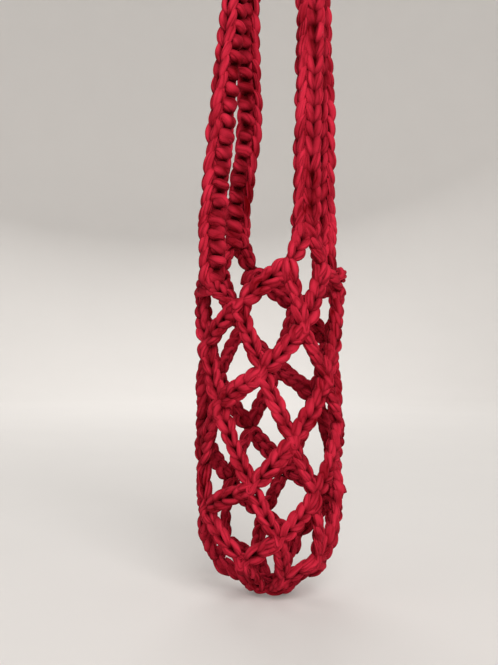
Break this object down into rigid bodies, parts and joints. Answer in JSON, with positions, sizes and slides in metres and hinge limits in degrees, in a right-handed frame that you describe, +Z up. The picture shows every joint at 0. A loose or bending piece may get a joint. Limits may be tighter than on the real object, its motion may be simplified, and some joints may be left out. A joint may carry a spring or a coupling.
{
  "type": "crocheted bottle carrier",
  "caption": "Crocheted net pouch of chunky jersey yarn with a scalloped rim and two strap handles, for carrying a drinking bottle.",
  "frame": {"origin": "the carry point, where a hand or hook takes the two handles, on the inside of their crowns", "axes": "+Z up along the pouch, +X to the right of the front handle, -Y towards the front"},
  "size_m": [0.0973, 0.0964, 0.4453],
  "materials": {
    "jersey_yarn": "matte cotton jersey yarn, crocheted"
  },
  "bodies": {
    "pouch": {"base_ring": "jersey_yarn", "base_spokes": "jersey_yarn", "fork_loop_back": "jersey_yarn", "fork_loop_front": "jersey_yarn", "net_loop_2_1": "jersey_yarn", "net_loop_2_2": "jersey_yarn", "net_loop_2_3": "jersey_yarn", "net_loop_2_4": "jersey_yarn", "net_loop_2_5": "jersey_yarn", "net_loop_2_6": "jersey_yarn", "net_loop_3_1": "jersey_yarn", "net_loop_3_2": "jersey_yarn", "net_loop_3_3": "jersey_yarn", "net_loop_3_4": "jersey_yarn", "net_loop_3_5": "jersey_yarn", "net_loop_3_6": "jersey_yarn", "net_loop_4_1": "jersey_yarn", "net_loop_4_2": "jersey_yarn", "net_loop_4_3": "jersey_yarn", "net_loop_4_4": "jersey_yarn", "net_loop_4_5": "jersey_yarn", "net_loop_4_6": "jersey_yarn", "net_loop_5_1": "jersey_yarn", "net_loop_5_2": "jersey_yarn", "net_loop_5_3": "jersey_yarn", "net_loop_5_4": "jersey_yarn", "net_loop_5_5": "jersey_yarn", "net_loop_5_6": "jersey_yarn", "net_loop_6_1": "jersey_yarn", "net_loop_6_2": "jersey_yarn", "net_loop_6_3": "jersey_yarn", "net_loop_6_4": "jersey_yarn", "net_loop_6_5": "jersey_yarn", "net_loop_6_6": "jersey_yarn", "rim_joins": "jersey_yarn", "rim_scallop_back": "jersey_yarn", "rim_scallop_front": "jersey_yarn", "rim_scallop_left": "jersey_yarn", "rim_scallop_right": "jersey_yarn", "round_1_joins": "jersey_yarn", "round_2_joins": "jersey_yarn", "round_3_joins": "jersey_yarn", "round_4_joins": "jersey_yarn", "round_5_joins": "jersey_yarn", "round_6_joins": "jersey_yarn", "strap_foot_left_front": "jersey_yarn", "strap_foot_right_back": "jersey_yarn", "strap_knot_left_back": "jersey_yarn", "strap_knot_left_front": "jersey_yarn", "strap_knot_right_back": "jersey_yarn", "strap_knot_right_front": "jersey_yarn", "yarn_end_knot": "jersey_yarn", "yarn_end_stub": "jersey_yarn"},
    "front_handle": {"front_handle": "jersey_yarn"},
    "back_handle": {"back_handle": "jersey_yarn"}
  },
  "joints": [
    {"name": "front_handle_fold", "type": "hinge", "parent": "pouch", "child": "front_handle", "pos_m": [-0.0075, -0.02828, -0.21267], "axis": [1, 0, 0], "range_deg": [0, 95]},
    {"name": "back_handle_fold", "type": "hinge", "parent": "pouch", "child": "back_handle", "pos_m": [-0.0075, 0.02828, -0.21267], "axis": [-1, 0, 0], "range_deg": [0, 95]}
  ]
}
